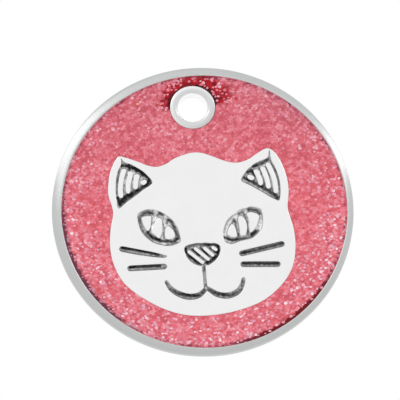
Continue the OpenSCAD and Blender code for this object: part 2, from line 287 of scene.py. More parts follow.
def makePiece(name, patches, values=None):
    # patches are (points in mm, faces, smooth); values holds one named number per point of each patch
    starts = np.cumsum([0] + [len(p[0]) for p in patches])
    faces = [f + s for (_, f, _), s in zip(patches, starts)]
    sizes = np.concatenate([np.full(len(f), f.shape[1]) for f in faces])
    mesh = bpy.data.meshes.new(name)
    mesh.vertices.add(starts[-1])
    mesh.vertices.foreach_set("co", np.concatenate([p[0] for p in patches]).ravel() / 1000)
    mesh.loops.add(int(sizes.sum()))
    mesh.loops.foreach_set("vertex_index", np.concatenate([f.ravel() for f in faces]))
    mesh.polygons.add(len(sizes))
    mesh.polygons.foreach_set("loop_start", np.append(0, np.cumsum(sizes)[:-1]))
    smooth = np.concatenate([np.full(len(f), s) for f, (_, _, s) in zip(faces, patches)])
    mesh.polygons.foreach_set("use_smooth", smooth)
    mesh.update(calc_edges=True)
    for key, numbers in (values or {}).items():
        layer = mesh.attributes.new(key, "FLOAT", "POINT")
        layer.data.foreach_set("value", np.concatenate(numbers))
    shell = bmesh.new()
    shell.from_mesh(mesh)
    bmesh.ops.remove_doubles(shell, verts=shell.verts, dist=3e-7)            # metres
    bmesh.ops.dissolve_degenerate(shell, edges=shell.edges, dist=1e-9)
    bmesh.ops.recalc_face_normals(shell, faces=shell.faces)
    openEdges = sum(1 for e in shell.edges if not e.is_manifold)
    shell.to_mesh(mesh)
    shell.free()
    piece = bpy.data.objects.new(name, mesh)
    scene.collection.objects.link(piece)
    print(name, len(mesh.vertices), "points,", len(mesh.polygons), "faces,", openEdges, "open edges")
    return piece


def rounded(fromPoint, corner, toPoint, steps):
    # a quarter round: from + to kept, the corner pulled in along an ellipse arc
    t = np.linspace(0, np.pi / 2, steps + 1)[:, None]
    f, c, e = np.array(fromPoint), np.array(corner), np.array(toPoint)
    centre = f + e - c
    return (centre + (f - centre) * np.cos(t) + (e - centre) * np.sin(t)).tolist()


def fillet(wall, floor, size):
    # the foot of a wall, from the floor up; size is negative where the floor lies inside the wall
    return [(wall + size, floor), (wall + 0.3 * size, floor - 0.3 * abs(size)), (wall, floor - abs(size))]


def frontPlace(points):
    # x + i z of points in the tag
    return points[:, 0] + 1j * points[:, 2]


def boxCorners(loop):
    # lower left and upper right corner of the box round a loop
    return loop.real.min() + 1j * loop.imag.min(), loop.real.max() + 1j * loop.imag.max()


def joined(first, second):
    # outline of two overlapping loops together
    verts, tris = triangles([first, second])[:2]
    middle = verts[tris].mean(axis=1)
    kept = tris[inside(middle, [first]) | inside(middle, [second])]
    following, starts = borders(kept, len(verts))
    return verts[walkLoop(following, starts[np.argmin(verts[starts].imag)])]


# the line below the nose runs into the nose's groove, so in the metal these two are one groove;
# to join them the line's upper end is carried a little way into the nose
mouthOverlap = 0.1
mouthLoop = evenLoop(frontLoops("mouth_ink")[0])
mouthLoop = mouthLoop + 1j * mouthOverlap * (mouthLoop.imag > mouthLoop.imag.max() - loopStep)
grooves = [inkLoops[name] for name in inkNames if name not in ("nose_ink", "mouth_ink")]
grooves.append([outline(joined(inkLoops["nose_ink"][0], mouthLoop))] + inkLoops["nose_ink"][1:])

# material tools


def screenColour(red, green, blue):
    # a colour as it looks on a screen, 0 to 255, made linear
    c = np.array([red, green, blue]) / 255
    return (*np.where(c <= 0.04045, c / 12.92, ((c + 0.055) / 1.055) ** 2.4).tolist(), 1.0)


def feed(tree, node, inputs):
    # each input takes a value, or is linked where a socket is given
    for key, value in inputs.items():
        if isinstance(value, bpy.types.NodeSocket):
            tree.links.new(value, node.inputs[key])
        else:
            node.inputs[key].default_value = value


def put(tree, kind, inputs=None, **settings):
    # a new node with its settings and inputs
    made = tree.nodes.new("ShaderNode" + kind)
    for key, value in settings.items():
        setattr(made, key, value)
    feed(tree, made, inputs or {})
    return made


def maths(tree, operation, a, b=0.0, c=0.0):
    return put(tree, "Math", {0: a, 1: b, 2: c}, operation=operation).outputs[0]


def scaled(tree, value, factor, offset):
    # value * factor + offset
    return maths(tree, "MULTIPLY_ADD", value, factor, offset)


def summed(tree, weights, values):
    # each value times its weight, added up
    total = maths(tree, "MULTIPLY", values[0], weights[0])
    for value, weight in zip(values[1:], weights[1:]):
        total = scaled(tree, value, weight, total)
    return total


def centred(tree, value):
    # noise lies round 0.5, so this is how far it is from its middle
    return maths(tree, "SUBTRACT", value, 0.5)


def grey(tree, shade):
    return put(tree, "CombineColor", {0: shade, 1: shade, 2: shade}).outputs[0]


def blend(tree, factor, a, b, how="MIX"):
    # colours a and b mixed by the factor
    return put(tree, "Mix", {0: factor, 6: a, 7: b}, data_type="RGBA", blend_type=how).outputs[2]


def ramp(tree, value, stops):
    # stops are (value, colour), and colours between them are mixed
    made = put(tree, "ValToRGB", {0: value})
    band = made.color_ramp
    while len(band.elements) < len(stops):
        band.elements.new(0.5)
    for element, (place, colour) in zip(band.elements, stops):
        element.position, element.color = place, colour
    return made.outputs[0]


def gentle(tree, value, low, high):
    # 0 below low, 1 above high, smooth between
    return put(tree, "MapRange", {0: value, 1: low, 2: high}, interpolation_type="SMOOTHSTEP").outputs[0]


def attribute(tree, name):
    return put(tree, "Attribute", attribute_name=name).outputs["Fac"]


def bumps(tree, height, strength, distance):
    # distance, how high they are, is in metres
    return put(tree, "Bump", {"Strength": strength, "Distance": distance, "Height": height}).outputs[0]


def newMaterial(name):
    made = bpy.data.materials.new(name)
    made.use_nodes = True
    tree = made.node_tree
    return made, tree, tree.nodes["Principled BSDF"]


def grainGroup():
    # fine grain and broad patches for any finish; sizes are cells per metre
    tree = bpy.data.node_groups.new("surfaceGrain", "ShaderNodeTree")
    for name, start in (("Grain Scale", 9000.0), ("Patch Scale", 300.0)):
        tree.interface.new_socket(name, in_out="INPUT", socket_type="NodeSocketFloat").default_value = start
    for name in ("Grain", "Patches"):
        tree.interface.new_socket(name, in_out="OUTPUT", socket_type="NodeSocketFloat")
    given, sent = tree.nodes.new("NodeGroupInput"), tree.nodes.new("NodeGroupOutput")
    place = put(tree, "TexCoord").outputs["Object"]
    fine = put(tree, "TexNoise", {"Vector": place, "Scale": given.outputs[0], "Detail": 3.0,
                                  "Roughness": 0.6})
    broad = put(tree, "TexNoise", {"Vector": place, "Scale": given.outputs[1], "Detail": 2.0})
    feed(tree, sent, {0: fine.outputs[0], 1: broad.outputs[0]})
    return tree


def scratchGroup():
    # faint straight scratches: noise stretched along a direction and cut to its thin ridges
    tree = bpy.data.node_groups.new("hairlines", "ShaderNodeTree")
    tree.interface.new_socket("Turn", in_out="INPUT", socket_type="NodeSocketVector")
    tree.interface.new_socket("Scratches", in_out="OUTPUT", socket_type="NodeSocketFloat")
    given, sent = tree.nodes.new("NodeGroupInput"), tree.nodes.new("NodeGroupOutput")
    place = put(tree, "Mapping", {"Vector": put(tree, "TexCoord").outputs["Object"],
                                  "Rotation": given.outputs[0], "Scale": (12000.0, 12000.0, 260.0)})
    lines = put(tree, "TexNoise", {"Vector": place.outputs[0], "Scale": 1.0, "Detail": 1.0})
    ridge = maths(tree, "ABSOLUTE", centred(tree, lines.outputs[0]))
    feed(tree, sent, {0: maths(tree, "SUBTRACT", 1.0, gentle(tree, ridge, 0.0, 0.02))})
    return tree


grain, hairlines = grainGroup(), scratchGroup()


def useGroup(tree, group, inputs):
    return put(tree, "Group", inputs, node_tree=group).outputs


# tag body

tagBody = {
    "discRadius": 12.7,
    "blankShift": -0.11 + 0.15j,    # the blank lies a little off the struck design's centre
    "fieldRadius": 12.02,
    "fieldDepth": 0.5,
    "rimLip": 0.08,
    "frontEdge": 0.4,
    "edgeShape": (0.55, 1.15, 0.45, 4),     # weight and power of its bevel, then of its rounding
    "backEdge": 0.6,
    "collarRadius": 1.94,
    "collarRound": 0.14,
    "collarGrey": 1.65,     # its flat is darker within this radius
    "greyEdge": 0.05,       # half width of the change
    "glint": (0.6, 0.4, 0.7),       # painted highlight on its lip: its mean, the swing round it, brightest at 0.7 half turns
    "wallFoot": 0.05,       # rounding at the foot of the rim's wall and the collar's
    "holeRadius": 1.25,
    "holeFrontRound": 0.24,
    "holeBackRound": 0.15,
    "headLip": 0.06,
    "headFoot": 0.04,
    "grooveDepth": 0.3,
    "grooveLip": 0.035,
    "grooveFoot": 0.03,
    "barLip": 0.045,
    "rimPoints": 360,
    "collarPoints": 120,
    "steps": {"rimLip": 6, "frontEdge": 14, "backEdge": 10, "collar": 8, "boreBack": 6, "head": 5,
              "groove": 4},
    # how the metal's faces look: 0 as the rim in painted shade, 1 as the head's top, 2 as the bore in a
    # painted white reflection
    "tones": {"rim": 0.0, "rimWall": 0.25, "field": 0.3, "back": 0.4, "grooveFloor": 0.6, "head": 1.0},
    # the same for each ring: grey over the collar's flat, brighter into the bore as a painted reflection,
    # down to the back's
    "boreTones": [0.4, 0.4, 0.4, 0.4, 0.4, 0.6, 0.9, 1.3, 1.7, 2.0, 2.0, 1.7, 1.4, 1.1, 0.8, 0.6, 0.4],
}


def buildTagBody(v):
    patches, tones, steps = [], [], v["steps"]
    rimPoints, collarPoints = v["rimPoints"], v["collarPoints"]

    def add(patch, face):
        patches.append(patch)
        tones.append(np.full(len(patch[0]), v["tones"][face]))

    # rim: the field's wall and lip, turned round the field's centre
    deep, wide, lip = v["fieldDepth"], v["fieldRadius"], v["rimLip"]
    rimProfile = (fillet(wide, deep, -v["wallFoot"])
                  + rounded((wide, lip), (wide, 0), (wide + lip, 0), steps["rimLip"]))
    add(turned(rimProfile, rimPoints, discCentre), "rimWall")
    # then a gentle bevel that rounds over at the blank's edge, which turns round the blank's own
    # centre; at a share s of the width its depth is frontEdge times the weighted sum of s to the
    # bevel's power and of one less the root of one less s to the rounding's power
    full, blankCentre = v["discRadius"], discCentre + v["blankShift"]
    start, edge = circle(wide + lip, rimPoints, discCentre), circle(full, rimPoints, blankCentre)
    shares = np.sin(np.linspace(0, np.pi / 2, steps["frontEdge"] + 1))
    bevel, bevelPower, rounding, roundPower = v["edgeShape"]
    fall = v["frontEdge"] * (bevel * shares ** bevelPower
                             + rounding * (1 - np.sqrt(np.maximum(1 - shares ** roundPower, 0))))
    crown = [atDepth(start + (edge - start) * share, u) for share, u in zip(shares, fall)]
    backProfile = rounded((full, thickness - v["backEdge"]), (full, thickness),
                          (full - v["backEdge"], thickness), steps["backEdge"])
    back = [atDepth(circle(r, rimPoints, blankCentre), u) for r, u in backProfile]
    patches.append(strip(crown + back))
    backTones = np.linspace(v["tones"]["rim"], v["tones"]["back"], len(back))
    tones.append(np.repeat(np.append(np.full(len(crown), v["tones"]["rim"]), backTones), rimPoints))
    # collar, turned round the hang hole's axis; its lip has a painted highlight, brightest at the upper left
    out, bore, lip = v["collarRadius"], v["holeRadius"], v["collarRound"]
    collarProfile = (fillet(out, deep, v["wallFoot"])
                     + rounded((out, lip), (out, 0), (out - lip, 0), steps["collar"]))
    patches.append(turned(collarProfile, collarPoints))
    tone, swing, brightest = v["glint"]
    glint = tone + swing * np.cos(2 * np.pi * np.arange(collarPoints) / collarPoints - brightest * np.pi)
    tones.append(np.tile(glint, len(collarProfile)))
    # its flat, the bore and the bore's back edge; the first two rings carry the lip's painted highlight
    dull, half, front, rear = v["collarGrey"], v["greyEdge"], v["holeFrontRound"], v["holeBackRound"]
    boreProfile = ([(out - lip, 0), (dull + half, 0), (dull - half, 0)]
                   + rounded((bore + front, 0), (bore, 0), (bore, front), steps["collar"])
                   + rounded((bore, thickness - rear), (bore, thickness), (bore + rear, thickness),
                             steps["boreBack"]))
    patches.append(turned(boreProfile, collarPoints))
    tones += [glint, glint, np.repeat(v["boreTones"], collarPoints)]
    # head: lip, wall and fillet carried round its outline
    lip, foot = v["headLip"], v["headFoot"]
    headProfile = rounded((-lip, 0), (0, 0), (0, lip), steps["head"]) + fillet(0, deep, foot)[::-1]
    add(carried(headOutline, headProfile), "head")
    topLoops = [shifted(headOutline, -lip)]
    # grooves: the same from the head's top down to the groove's floor, and each bar standing in it
    low, lip, step = v["grooveDepth"], v["grooveLip"], v["grooveFoot"]
    lipProfile, barLip = rounded((lip, 0), (0, 0), (0, lip), steps["groove"]), v["barLip"]
    barProfile = rounded((-barLip, 0), (0, 0), (0, barLip), steps["groove"])
    for loops in grooves:
        ahead = gapTo(loops[0], [headOutline] + [g[0] for g in grooves if g is not loops])
        within = gapsWithin(loops)
        add(carried(loops[0], lipProfile, ahead), "head")
        add(carried(loops[0], [(0, lip), (0, low - step), (-step, low)], within[0]), "head")
        topLoops.append(shifted(loops[0], lip, ahead))
        floorLoops = [shifted(loops[0], -step, within[0])]
        for bar, room in zip(loops[1:], within[1:]):
            add(carried(bar, barProfile), "head")
            add(carried(bar, [(0, barLip), (0, low - step), (step, low)], room), "head")
            add(filled([shifted(bar, -barLip)], 0), "head")
            floorLoops.append(shifted(bar, step, room))
        add(filled(floorLoops, low), "grooveFloor")
    add(filled(topLoops, 0), "head")
    add(filled([circle(wide - v["wallFoot"], rimPoints, discCentre),
                circle(out + v["wallFoot"], collarPoints), shifted(headOutline, foot)], deep), "field")
    add(filled([circle(full - v["backEdge"], rimPoints, blankCentre),
                circle(bore + rear, collarPoints)], thickness), "back")
    return makePiece("tagBody", patches, {"tone": tones})


metalFinish = {
    "head": screenColour(240, 240, 240),
    # painted shade: the rim, the same metal as the head, is painted darker for the darker surroundings its
    # bevel reflects
    "rim": screenColour(195, 197, 196),
    # painted reflection: the bore is painted white for the bright light it reflects
    "bore": screenColour(255, 255, 255),
    "darkest": 0.955,       # shade of its darkest patches
    "patches": 0.05,        # and how much lighter the others are
    "marks": 0.03,          # how dark the polishing marks are on the front
    "backMarks": 0.09,      # and how much darker on the plain back
    "backFrom": 0.1,        # depth before the back over which they darken
    "roughness": 0.30,
    "rimRoughness": 0.24,
    "grainRoughness": 0.14,
    "markRoughness": 0.06,
    "heights": (-0.4, 1.5),         # of marks and patches, where the grain's is 1
    "bump": (0.25, 0.000006),
}


def satinNickel(v):
    made, tree, surface = newMaterial("satinNickel")
    marks = useGroup(tree, grain, {"Grain Scale": 14000.0, "Patch Scale": 420.0})
    lines = useGroup(tree, hairlines, {"Turn": (0.0, 0.6, 0.0)})[0]
    tone = attribute(tree, "tone")
    shade = scaled(tree, marks["Patches"], v["patches"], v["darkest"])
    depth = put(tree, "SeparateXYZ", {0: put(tree, "TexCoord").outputs["Object"]}).outputs[1]
    onBack = gentle(tree, depth, (backY - v["backFrom"]) / 1000, (backY - v["backFrom"] / 10) / 1000)
    strength = scaled(tree, onBack, v["backMarks"], v["marks"])
    shade = maths(tree, "SUBTRACT", shade, maths(tree, "MULTIPLY", lines, strength))
    # painted shade: the rim's darker colour
    colour = blend(tree, 1.0, blend(tree, tone, v["rim"], v["head"]), grey(tree, shade), "MULTIPLY")
    # painted reflection: the bore turns white
    colour = blend(tree, gentle(tree, tone, 1.0, 2.0), colour, v["bore"])
    rough = scaled(tree, marks["Grain"], v["grainRoughness"], v["rimRoughness"] - v["grainRoughness"] / 2)
    rough = scaled(tree, gentle(tree, tone, 0.0, 0.4), v["roughness"] - v["rimRoughness"], rough)
    rough = scaled(tree, lines, v["markRoughness"], rough)
    height = scaled(tree, marks["Patches"], v["heights"][1], marks["Grain"])
    height = scaled(tree, lines, v["heights"][0], height)
    feed(tree, surface, {"Base Color": colour, "Metallic": 1.0, "Roughness": rough,
                         "Normal": bumps(tree, height, *v["bump"])})
    return made


body = buildTagBody(tagBody)
body.data.materials.append(satinNickel(metalFinish))
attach(body, "root")
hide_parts("tag_body")
print("tag body built")

# glitter enamel


def fieldEdges(margin=0.0):
    # the field's edges at rim, head and collar, each moved into the field by the margin
    return [circle(tagBody["fieldRadius"] - margin, tagBody["rimPoints"], discCentre),
            shifted(headOutline, margin), circle(tagBody["collarRadius"] + margin, tagBody["collarPoints"])]


enamel = {
    "level": 0.05,         # how far its middle lies below the rim and the head
    "wetDepth": 0.025,     # where it meets the metal
    "wetReach": 0.16,      # the rise falls to a twentieth over this distance
    "rings": (0, 0.02, 0.045, 0.08, 0.12, 0.17, 0.24, 0.34),    # points of the rise, from the metal
    "gridStep": 0.3,       # spacing of the points inside its top
    "gridMargin": 0.08,    # and what is left free of them round the rise
    # where it looks different, with bearings in degrees from the right, anticlockwise
    "lowerRight": (-57, 25),     # bearing and half width of the red part of the rim's painted shade
    "lowerLeft": (-161, 32),     # and of the part that is only broader
    "lineMiddle": 0.13,          # how far from the rim's wall the painted shade lies
    "lineReach": (0.14, 0.12),   # how wide it is, and what is added in those two parts
    "bareReach": (1.5, 0.4),     # from the collar, and what is added to its right
    "deepReach": 0.46,
    "collarTop": 0.1,            # height over which these two begin, at the hole's centre
    "denseReach": 4.0,           # in from the rim
    "denseFall": (0.65, 22, 0.2),     # its share at half height, mm up over which it loses 1, its least
    "dusky": (45, 14),           # bearing and half width of the dusky part at the rim
    "duskyReach": 1.4,
    "duskyHeight": 11,           # above the middle, where the top is at its duskiest
    "duskyShares": (0.6, 0.7),   # of the top and of that part of the rim
}


def buildEnamel(v):
    deep, step, margin = tagBody["fieldDepth"], v["gridStep"], v["gridMargin"]
    # meniscus: the top rises to the metal as an exponential of the distance from it
    reach = np.array(v["rings"])
    depth = v["level"] - (v["level"] - v["wetDepth"]) * np.exp(-reach / v["wetReach"] * 3)
    patches, ends, fences = [], [], []
    for loop, side in zip(fieldEdges(), (-1, 1, 1)):
        # side is +1 where the resin lies outside the loop; the contact ring touches the metal's lip
        rings = [shifted(loop, side * d) for d in reach]
        patches.append(strip([atDepth(loop, deep), atDepth(loop, depth[0])], False))
        patches.append(strip([atDepth(l, u) for l, u in zip(rings, depth)]))
        ends.append(rings[-1])
        fences.append(shifted(rings[-1], side * margin))
    half = np.ceil(tagBody["fieldRadius"])
    rows, columns = np.mgrid[-half:half:step, -half:half:step]
    spots = (columns + 0.5 * step * (np.round(rows / step) % 2) + 1j * rows).ravel() + discCentre
    patches.append(filled(ends, depth[-1], spots[inside(spots, fences)], True))
    patches.append(filled(fieldEdges(), deep))
    masks = [enamelMasks(frontPlace(points), v) for points, _, _ in patches]
    return makePiece("glitterEnamel", patches, {key: [m[key] for m in masks] for key in masks[0]})


def sector(at, middle, width, power=4):
    # 1 at the middle bearing from the disc's centre, 0 well past the half width: the exponential of
    # minus the power of the angle off the middle over the half width
    bearing = np.degrees(np.angle(at - discCentre))
    return np.exp(-(((bearing - middle + 180) % 360 - 180) / width) ** power)


def enamelMasks(at, v):
    # rimShade: painted shade and dark reflection along the rim, red where lowerRight is 1; thin: little
    # glitter round the collar's top; deep: painted shade, near black, right beside the collar; dense: more
    # glitter outwards; dusky: less red towards the top, most near the rim at the upper right
    fromRim = tagBody["fieldRadius"] - abs(at - discCentre)
    fromCollar = abs(at) - tagBody["collarRadius"]
    lowerRight = sector(at, *v["lowerRight"])
    lower = lowerRight + sector(at, *v["lowerLeft"])
    width, wider = v["lineReach"]
    rimShade = np.exp(-((fromRim - v["lineMiddle"]) / (width + wider * lower)) ** 2) * (0.5 + 0.5 * lower)
    upper = 1 / (1 + np.exp(-at.imag / v["collarTop"]))
    width, wider = v["bareReach"]
    thin = np.exp(-(np.maximum(fromCollar, 0) / (width + wider * np.tanh(at.real))) ** 2) * upper
    deep = np.exp(-(fromCollar / v["deepReach"]) ** 2) * (0.4 + 0.6 * abs(np.cos(np.angle(at) - 0.4))) * upper
    height = at.imag - discZ
    share, fall, least = v["denseFall"]
    dense = np.clip(1 - fromRim / v["denseReach"], 0, 1) * np.clip(share - height / fall, least, 1)
    byRim = sector(at, *v["dusky"], power=2) * np.exp(-(fromRim / v["duskyReach"]) ** 2)
    top, rim = v["duskyShares"]
    dusky = np.clip(top * np.clip(height / v["duskyHeight"], 0, 1) + rim * byRim, 0, 1)
    return {"rimShade": rimShade, "lowerRight": lowerRight, "thin": thin, "deep": deep,
            "dense": dense, "dusky": dusky}


enamelFinish = {
    "flecks": [(0.18, screenColour(196, 66, 82)), (0.40, screenColour(216, 82, 98)),
               (0.60, screenColour(228, 104, 118)), (0.80, screenColour(238, 136, 148)),
               (0.95, screenColour(246, 184, 194))],
    "flecksPerMetre": (3600.0, 7600.0),
    "dusk": (0.78, 0.95, 1.0, 1.0),            # what the duskiest resin is multiplied by
    "resin": screenColour(182, 16, 34),        # the bare resin, where little glitter lies in it
    "resinShade": screenColour(112, 4, 20),    # its darker spots
    "resinCollarShade": screenColour(70, 0, 12),      # painted shade right beside the collar
    # painted shade and dark reflection along the rim's wall, and its red part
    "rimShadeLine": screenColour(108, 48, 66),
    "rimShadeRed": screenColour(112, 6, 20),
    # weights of a mask and of the flecks and grain that break it up, and where it starts and is full
    "glitterMix": (0.5, 0.32, 0.18, 0.35),     # of large and small flecks, grain and patches
    "bareMix": (1.5, -0.75, -0.3),
    "bareRange": (-0.1, 0.7),
    "deepMix": (1.3, -0.5),
    "deepRange": (0.1, 1.0),
    "spotMix": (0.5, 0.5, 1.4),
    "lineMix": (2.0, -0.5, -0.7),
    "lineRange": (-0.1, 1.0),
    "roughness": (0.3, 0.6),                   # of the smoothest and the roughest flecks
    "specular": 0.15,
    "coatRoughness": 0.06,
    "coatLoss": 0.95,                          # less gloss where the resin is bare and on the painted rim shade
    "bump": (0.3, 0.00001),
}


def glitterResin(v):
    made, tree, surface = newMaterial("glitterResin")
    place = put(tree, "TexCoord").outputs["Object"]
    marks = useGroup(tree, grain, {"Grain Scale": 2600.0, "Patch Scale": 260.0})
    cells = [put(tree, "TexVoronoi", {"Vector": place, "Scale": s}) for s in v["flecksPerMetre"]]
    large, small = [put(tree, "SeparateColor", {0: c.outputs["Color"]}).outputs for c in cells]
    patches = centred(tree, marks["Patches"])
    level = summed(tree, v["glitterMix"], (large[0], small[0], marks["Grain"], patches))
    pink = ramp(tree, level, v["flecks"])
    pink = blend(tree, attribute(tree, "dusky"), pink, blend(tree, 1.0, pink, v["dusk"], "MULTIPLY"))
    bare = summed(tree, v["bareMix"], (attribute(tree, "thin"), large[1], marks["Grain"]))
    bare = gentle(tree, bare, *v["bareRange"])
    # painted shade, near black, right beside the collar
    dark = gentle(tree, summed(tree, v["deepMix"], (attribute(tree, "deep"), large[1])), *v["deepRange"])
    share, low, high = v["spotMix"]
    spots = gentle(tree, scaled(tree, small[2], share, large[2]), low, high)
    red = blend(tree, spots, v["resin"], v["resinShade"])
    colour = blend(tree, bare, pink, blend(tree, dark, red, v["resinCollarShade"]))
    # painted shade and dark reflection along the rim
    line = blend(tree, attribute(tree, "lowerRight"), v["rimShadeLine"], v["rimShadeRed"])
    edge = summed(tree, v["lineMix"], (attribute(tree, "rimShade"), small[2], large[0]))
    edge = gentle(tree, edge, *v["lineRange"])
    smooth, rough = v["roughness"]
    gloss = scaled(tree, maths(tree, "MAXIMUM", bare, edge), -v["coatLoss"], 1.0)
    feed(tree, surface, {"Base Color": blend(tree, edge, colour, line),
                         "Roughness": scaled(tree, small[1], rough - smooth, smooth),
                         "Specular IOR Level": v["specular"], "Coat Weight": gloss,
                         "Coat Roughness": v["coatRoughness"],
                         "Normal": bumps(tree, marks["Patches"], *v["bump"])})
    return made


resin = buildEnamel(enamel)
resin.data.materials.append(glitterResin(enamelFinish))
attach(resin, "root")
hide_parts("glitter_enamel")
print("enamel poured")

# flakes of glitter that lie in the resin's top

flakes = {
    "count": 1900,
    "trials": 12,                # places tried for each flake
    "chance": (0.12, 0.88, 0.3),     # of taking a place: anywhere, and what dense and thin parts add
    "redLoss": 0.8,              # share of that lost on the red part of the painted rim shade
    "margin": 0.12,              # kept clear of the metal
    "size": (0.09, 0.165),       # half width, smallest and largest
    "flatness": (0.6, 1.0),      # height as a share of the width
    "tilt": 4.0,                 # degrees from the resin's surface, at most
    "proud": 0.006,              # how far the middle stands above the resin
    "body": 0.012,               # thickness
    # shares and colours, partly the glitter's own and partly painted sparkle: the lightest, whitest stand for
    # flakes that catch the light
    "tints": [(0.36, (224, 120, 136)), (0.27, (234, 148, 164)), (0.19, (243, 184, 200)),
              (0.06, (253, 222, 232)), (0.06, (226, 166, 190)), (0.06, (200, 84, 98))],
    "orange": ((-4.75, 0.82), (250, 176, 122)),      # place and colour of the one orange flake
    "resinPink": (222, 112, 128),     # the tint they fade towards where glitter is sparse
    "fade": 0.7,
    "rimShadeTint": (166, 108, 130),       # and the painted rim shade they take by the rim, apart from its red part
    "rimFade": 0.8,
    "seed": 7,
    "shade": (0.88, 0.2),             # of its darkest patches, and how much lighter the others are
    "metallic": 0.6,
    "roughness": (0.22, 0.2),         # least, and what the grain adds
    "coat": 0.4,
}


def buildFlakes(v):
    # each flake is a hexagonal plate, turned and tilted: corner k at size * (cos, sin) of 60 k degrees
    rng = np.random.default_rng(v["seed"])
    wide, tries = tagBody["fieldRadius"] - v["margin"], v["trials"] * v["count"]
    trial = rng.uniform(-wide, wide, tries) + 1j * rng.uniform(-wide, wide, tries) + discCentre
    trial = trial[inside(trial, fieldEdges(v["margin"]))]
    masks = enamelMasks(trial, enamel)
    # a place is taken by chance, more often where glitter is dense and seldom on the red part of the painted
    # rim shade
    fewer = v["redLoss"] * masks["lowerRight"] * np.minimum(1, masks["rimShade"])
    base, denser, thinner = v["chance"]
    chance = (base + denser * masks["dense"] + thinner * masks["thin"]) * (1 - fewer)
    chosen = np.flatnonzero(rng.random(len(trial)) < chance)[:v["count"]]
    at, sparse = trial[chosen], 1 - np.minimum(1, 1.8 * masks["dense"][chosen])
    n, k = len(at), np.arange(6)
    size = rng.uniform(*v["size"], n)[:, None]
    turn = rng.uniform(0, 2 * np.pi, n)[:, None]
    slopeX, slopeZ = np.tan(np.radians(rng.uniform(-v["tilt"], v["tilt"], (2, n, 1))))
    angle = turn + k * np.pi / 3
    dx, dz = size * np.cos(angle), size * np.sin(angle) * rng.uniform(*v["flatness"], (n, 1))
    top = frontY + enamel["level"] - v["proud"] + slopeX * dx + slopeZ * dz
    corners = np.stack([np.stack([at.real[:, None] + dx, y, at.imag[:, None] + dz], axis=-1)
                        for y in (top, top + v["body"])], axis=1)
    sides = np.stack([k, (k + 1) % 6, 6 + (k + 1) % 6, 6 + k], axis=-1)
    ends = np.array([[0, 1, 2, 3], [0, 3, 4, 5], [6, 7, 8, 9], [6, 9, 10, 11]])
    faces = (np.concatenate([sides, ends]) + 12 * np.arange(n)[:, None, None]).reshape(-1, 4)
    piece = makePiece("glitterFlakes", [(corners.reshape(-1, 3), faces, False)])
    shares, colours = zip(*v["tints"])
    pick = rng.choice(len(colours), n, p=np.array(shares) / sum(shares))
    tint = np.array([screenColour(*c) for c in colours])[pick]
    tint += (np.array(screenColour(*v["resinPink"])) - tint) * v["fade"] * sparse[:, None]
    # flakes by the rim take the painted rim shade
    byRim = v["rimFade"] * np.minimum(1, 1.3 * masks["rimShade"]) * (1 - masks["lowerRight"])
    tint += (np.array(screenColour(*v["rimShadeTint"])) - tint) * byRim[chosen][:, None]
    (x, z), orange = v["orange"]
    tint[np.argmin(abs(at - x - 1j * z))] = screenColour(*orange)
    layer = piece.data.attributes.new("tint", "FLOAT_COLOR", "POINT")
    layer.data.foreach_set("color", np.repeat(tint, 12, axis=0).ravel())
    return piece


def flakeFoil(v):
    made, tree, surface = newMaterial("flakeFoil")
    marks = useGroup(tree, grain, {"Grain Scale": 30000.0, "Patch Scale": 3000.0})
    tint = put(tree, "Attribute", attribute_name="tint").outputs["Color"]
    (darkest, lighter), (smooth, rougher) = v["shade"], v["roughness"]
    shade = grey(tree, scaled(tree, marks["Patches"], lighter, darkest))
    feed(tree, surface, {"Base Color": blend(tree, 1.0, tint, shade, "MULTIPLY"),
                         "Metallic": v["metallic"], "Coat Weight": v["coat"],
                         "Roughness": scaled(tree, marks["Grain"], rougher, smooth)})
    return made


glitter = buildFlakes(flakes)
glitter.data.materials.append(flakeFoil(flakes))
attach(glitter, "root")
print("flakes strewn")

# ink

ink = {
    "level": 0.2,          # depth of its middle
    "climb": 0.038,        # depth that it reaches on the walls
    "meniscus": 0.2,       # how far from a wall it curves up
    "rings": (0, 0.15, 0.35, 0.65, 1),      # points of that curve, in shares of it
    "fullWidth": 0.3,      # a groove narrower than this is filled higher
    "gridStep": 0.07,
    # painted shade and painted light: share by which it is darker below a groove's upper wall and paler above
    # the lower one
    "lean": 0.35,
    "wallShadeReach": 0.2,
}
inkShades = {"black": 1.0, "dark": 0.85, "soft": 0.7, "grey": 0.55, "faint": 0.3}
